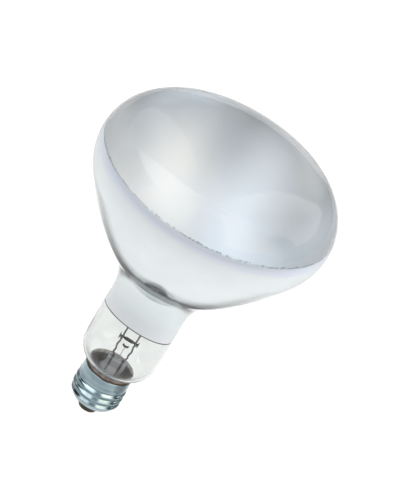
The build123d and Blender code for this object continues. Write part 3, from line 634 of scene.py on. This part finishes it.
def wound_wire():
    """The filament's wire: a circle carried along a helix that is wound about a ring.

    With the ring's angle a and the coil's angle b, the helix is ((R + c cos b) cos a,
    (R + c cos b) sin a, h + c sin b), and the wire's circle lies across its tangent. Both ends
    are closed by a circle that shrinks to its middle.
    """
    count = FILAMENT_TURNS * WIRE_POINTS
    coil = FILAMENT_COIL_RADIUS - FILAMENT_WIRE_RADIUS
    a = np.radians(np.linspace(180 - FILAMENT_ARC, 180, count))
    b = np.linspace(0, 2 * np.pi * FILAMENT_TURNS, count)
    out = np.stack([np.cos(a), np.sin(a), 0 * a], -1)
    up = np.array([0.0, 0.0, 1.0])
    spoke = np.cos(b)[:, None] * out + np.sin(b)[:, None] * up
    line = FILAMENT_RADIUS * out + coil * spoke + FOCUS_HEIGHT * up
    along = np.gradient(line, axis=0)
    along /= np.linalg.norm(along, axis=1, keepdims=True)
    across = np.cross(along, spoke)
    w = np.linspace(0, 2 * np.pi, WIRE_SIDES, endpoint=False)[None, :, None]
    circle = np.cos(w) * spoke[:, None] + np.sin(w) * across[:, None]
    tube = line[:, None] + FILAMENT_WIRE_RADIUS * circle
    ends = line[[0, -1], None].repeat(WIRE_SIDES, 1)
    return np.concatenate([ends[:1], tube, ends[1:]])


tungsten = drawn_metal("drawn_tungsten", "#504E4C", "#7C7A78", 0.4)
filament = grid_piece("filament_coiled", wound_wire(), [tungsten])
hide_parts("filament")

for piece in (bulb, mirror, cap, filament):
    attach(piece, "root")

# Pieces whose solids stay: material for each
NODE_FINISHES = {
    # Moulded black glass: near black, with a glossy skin and faint flow marks
    fired_body("moulded_black_glass", "#060708", "#111314", 0.3, 1.6, 0.05): ["cap_insulator"],
    # Pressed brass: dull yellow
    drawn_metal("pressed_brass", "#7E6540", "#A8905E", 0.34): ["centre_contact"],
    # Soft solder sets in a bright, lumpy skin
    drawn_metal("cast_soft_solder", "#8F9294", "#C6C9CA", 0.32, 1.2): ["contact_solder", "side_solder"],
    # Marble flour in phenolic resin, baked brown: a dull grainy ring
    fired_body("baked_basing_cement", "#4A3830", "#7C675C", 0.5, 0.5, 0.1): ["basing_cement"],
    # Lead glass, pressed while soft: cloudy, and dark brown where it meets the tail, as painted shade
    # inside the cap
    tubing_glass("pressed_lead_glass", "#F4F4FC", "#58524C", 1.52, 25.5, 0.45, PRESS_LEADS): ["stem"],
    # Drawn lead glass: dark brown below the tail's top, as painted shade inside the cap
    tubing_glass("drawn_lead_glass", "#EEF3F8", "#5C5650", 1.52, 26.5): ["exhaust_tube"],
    drawn_metal("drawn_copper", "#9A5A3C", "#CC8A62", 0.33): ["contact_lead", "shell_lead"],
    # Nickel wire, greyed by the heat of sealing
    drawn_metal("drawn_nickel_wire", "#4E4A46", "#8A8580", 0.3): [
        "lead_wire_left", "lead_wire_right", "filament_link", "upper_strap", "lower_strap",
    ],
    # The getter's thin wire stays bright
    drawn_metal("bright_drawn_nickel_wire", "#B4B4B0", "#DCDCD8", 0.3): ["getter_wire"],
    drawn_metal("drawn_molybdenum", "#4A4846", "#7A7876", 0.35): [
        "bridge_ties", "filament_hooks", "upper_foil", "lower_foil", "upper_pin", "lower_pin",
    ],
    tungsten: ["upper_electrode", "lower_electrode"],
    # Getter strip, dulled and blackened when it was flashed
    drawn_metal("flashed_getter_strip", "#1C1B1A", "#3C3A38", 0.5): ["getter_strip"],
    # Dark glass rod: near black, with a glossy skin
    fired_body("drawn_bridge_glass", "#141415", "#343437", 0.16, 1.2, 0.04): ["bridge_spool"],
    # Pressed steatite: off-white and matte, with fine pits
    fired_body("fired_steatite", "#CFC9BA", "#EDEAE2", 0.65, 0.4, 0.05): ["hook_disc"],
    # Quartz tubing: clear and nearly colourless
    tubing_glass("fused_quartz", "#FBFCFF", "#F2F4F8", 1.46, FOCUS_HEIGHT): ["burner_tube"],
}
for material, names in NODE_FINISHES.items():
    for name in names:
        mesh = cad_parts[name].data
        mesh.materials.clear()
        mesh.materials.append(material)


def camera_axes():
    """The photograph's right, up and back directions: above the lamp on its -Y side, and rolled.

    At the elevation e, back is (0, -cos e, sin e) and the lamp's axis is seen along
    (0, sin e, cos e). Right and up are +X and that direction, turned by the roll so that the
    axis leans right.
    """
    lift, roll = math.radians(CAMERA_ELEVATION), math.radians(CAMERA_ROLL)
    back = np.array([0, -math.cos(lift), math.sin(lift)])
    axis_up = np.array([0, math.sin(lift), math.cos(lift)])
    x_axis = np.array([1.0, 0, 0])
    right = math.sin(roll) * axis_up + math.cos(roll) * x_axis
    up = math.cos(roll) * axis_up - math.sin(roll) * x_axis
    return right, up, back


def floor_in_picture():
    """A floor point's place in the picture, across and down: factors of its x and y, and a constant.

    Places are shares of the frame, from the picture's middle. The rays through nine places, three
    by three, meet the floor, and least squares give the factors that suit these points best.
    """
    right, up, back = camera_axes()
    stand = np.array(CAMERA_AIM) + CAMERA_DISTANCE * back
    shares = np.linspace(-0.5, 0.5, 3)
    places = np.stack(np.meshgrid(shares, shares), -1).reshape(-1, 2)
    rays = places[:, :1] * PHOTO_WIDTH * right - places[:, 1:] * PHOTO_HEIGHT * up - FOCAL_PIXELS * back
    spots = stand - rays * (stand[2] + FLOOR_DROP) / rays[:, 2:]
    table = np.column_stack([spots[:, :2], np.ones(len(spots))])
    return np.linalg.lstsq(table, places, rcond=None)[0].T.tolist()


def white_floor():
    """White paper: partly lit by the studio and partly bright by itself, so it is white with a soft shadow.

    It is white in the picture and a little beyond, where the larger of the distances across and down
    is under about half a frame. Elsewhere it greys with the distance from a bright spot behind the
    lamp, and a dark card lies there, which the bowl's edges mirror so that they stand out. The card's
    edge is soft, by the length of the point's place from its middle in half widths.
    """
    material, tree, shader, place = finish(
        "white_paper",
        Base_Color=linear("#959595"),
        Emission_Color=linear("#FFFFFF"),
        Roughness=1.0,
        Specular_IOR_Level=0.0,
    )
    off = []
    for by_x, by_y, constant in floor_in_picture():
        part = {0: place, 1: (by_x, by_y, 0.0)}
        part = add(tree, "ShaderNodeVectorMath", part, operation="DOT_PRODUCT").outputs["Value"]
        part = add(tree, "ShaderNodeMath", {0: part, 1: constant}, operation="ADD").outputs[0]
        off.append(add(tree, "ShaderNodeMath", {0: part}, operation="ABSOLUTE").outputs[0])
    off = add(tree, "ShaderNodeMath", {0: off[0], 1: off[1]}, operation="MAXIMUM").outputs[0]
    away = {0: place, 1: SPOT_MIDDLE}
    away = add(tree, "ShaderNodeVectorMath", away, operation="DISTANCE").outputs["Value"]
    card = {"Vector": place, "Location": CARD_MIDDLE, "Scale": CARD_REACH}
    card = add(tree, "ShaderNodeMapping", card, vector_type="TEXTURE").outputs[0]
    card = add(tree, "ShaderNodeVectorMath", {0: card}, operation="LENGTH").outputs["Value"]
    glow = FAR_GLOW
    for measure, (start, end), inside, kind in (
        (away, SPOT_FADE, SPOT_GLOW, "LINEAR"),
        (card, CARD_FADE, CARD_GLOW, "SMOOTHSTEP"),
        (off, PICTURE_FADE, PICTURE_GLOW, "SMOOTHSTEP"),
    ):
        fade = {"Value": measure, "From Min": start, "From Max": end, "To Min": inside, "To Max": glow}
        glow = add(tree, "ShaderNodeMapRange", fade, interpolation_type=kind).outputs[0]
    tree.links.new(glow, shader.inputs["Emission Strength"])
    return material


half, level = FLOOR_HALF_SIDE * MM, -FLOOR_DROP * MM
corners = [(-half, -half, level), (half, -half, level), (half, half, level), (-half, half, level)]
floor_mesh = bpy.data.meshes.new("floor")
floor_mesh.from_pydata(corners, [], [(0, 1, 2, 3)])
floor_mesh.materials.append(white_floor())
floor = bpy.data.objects.new("floor", floor_mesh)
bpy.context.scene.collection.objects.link(floor)

# Studio seen by direction: azimuth from the camera's side (-Y) towards +X, and elevation, in degrees
world = bpy.data.worlds.new("studio")
bpy.context.scene.world = world
world.use_nodes = True
tree = world.node_tree
facing = add(tree, "ShaderNodeTexCoord").outputs["Generated"]
part = add(tree, "ShaderNodeSeparateXYZ", {0: facing}).outputs
front = add(tree, "ShaderNodeMath", {0: part["Y"], 1: -1.0}, operation="MULTIPLY").outputs[0]
azimuth = add(tree, "ShaderNodeMath", {0: part["X"], 1: front}, operation="ARCTAN2").outputs[0]
azimuth = add(tree, "ShaderNodeMath", {0: azimuth}, operation="DEGREES").outputs[0]
elevation = add(tree, "ShaderNodeMath", {0: part["Z"]}, operation="ARCSINE").outputs[0]
elevation = add(tree, "ShaderNodeMath", {0: elevation}, operation="DEGREES").outputs[0]


def panel(left, right, low, high, soft):
    """How much of a panel is seen: 1 inside its bounds of azimuth and elevation, falling to 0 outside.

    The distance outside is the larger of |azimuth - middle| - half width and
    |elevation - middle| - half height.
    """
    outside = []
    for angle, start, end in ((azimuth, left, right), (elevation, low, high)):
        gap = add(tree, "ShaderNodeMath", {0: angle, 1: (start + end) / 2}, operation="SUBTRACT").outputs[0]
        gap = add(tree, "ShaderNodeMath", {0: gap}, operation="ABSOLUTE").outputs[0]
        gap = add(tree, "ShaderNodeMath", {0: gap, 1: (end - start) / 2}, operation="SUBTRACT").outputs[0]
        outside.append(gap)
    gap = add(tree, "ShaderNodeMath", {0: outside[0], 1: outside[1]}, operation="MAXIMUM").outputs[0]
    return add(tree, "ShaderNodeMapRange", {"Value": gap, "From Min": soft, "From Max": 0.0}).outputs[0]


# Pale walls: brighter in front of the lamp than behind it
walls = {"Value": front, "From Min": -0.6, "From Max": 0.5, "To Min": 0.35, "To Max": 1.1}
light = add(tree, "ShaderNodeMapRange", walls, interpolation_type="SMOOTHSTEP").outputs[0]
light = add(tree, "ShaderNodeCombineColor", {"Red": light, "Green": light, "Blue": light}).outputs[0]
# What stands before the walls: left, right, low, high, soft edge, colour and strength. A later one
# hides an earlier one
STUDIO = {
    "ceiling": (-180, 180, 72, 90, 10, "#FFFFFF", 0.95),
    "dark gap on the left": (-96, -60, -20, 38, 7, "#1A2426", 1.0),
    "dark gap on the right": (90, 108, -20, 37, 7, "#3E494C", 1.0),
    "grey screen in front": (-6, 24, 4, 60, 8, "#A4AEB4", 1.0),
    "soft box in front on the left": (-46, -14, 18, 70, 12, "#FFFFFF", 1.9),
    "soft box in front on the right": (36, 74, 18, 70, 8, "#FFF3E3", 2.45),
    "high soft box on the left": (-116, -50, 40, 84, 6, "#EEF8FF", 3.1),
    "high soft box on the right": (78, 116, 48, 84, 6, "#F2F7FF", 2.2),
    "soft box behind on the left": (-154, -104, 22, 84, 1.5, "#FFFCF6", 1.0),
    "soft box behind on the right": (104, 154, 22, 84, 1.5, "#FFFDFB", 1.6),
}
for *bounds, colour, strength in STUDIO.values():
    glow = tuple(strength * c for c in linear(colour)[:3]) + (1.0,)
    seen = {"Factor": panel(*bounds), "A": light, "B": glow}
    light = add(tree, "ShaderNodeMix", seen, data_type="RGBA").outputs["Result"]
tree.links.new(light, tree.nodes["Background"].inputs["Color"])

# Camera at the photograph's place. The sensor's size is that of the picture's longer side
right, up, back = camera_axes()
stand = (np.array(CAMERA_AIM) + CAMERA_DISTANCE * back) * MM
lens = bpy.data.cameras.new("photo_view")
lens.sensor_width = SENSOR
lens.lens = FOCAL_PIXELS * SENSOR / PHOTO_HEIGHT
camera = bpy.data.objects.new("photo_view", lens)
bpy.context.scene.collection.objects.link(camera)
pose = np.eye(4)
pose[:3] = np.stack([right, up, back, stand], -1)
camera.matrix_world = pose.T.tolist()
bpy.context.scene.camera = camera
bpy.context.scene.view_settings.view_transform = "Standard"
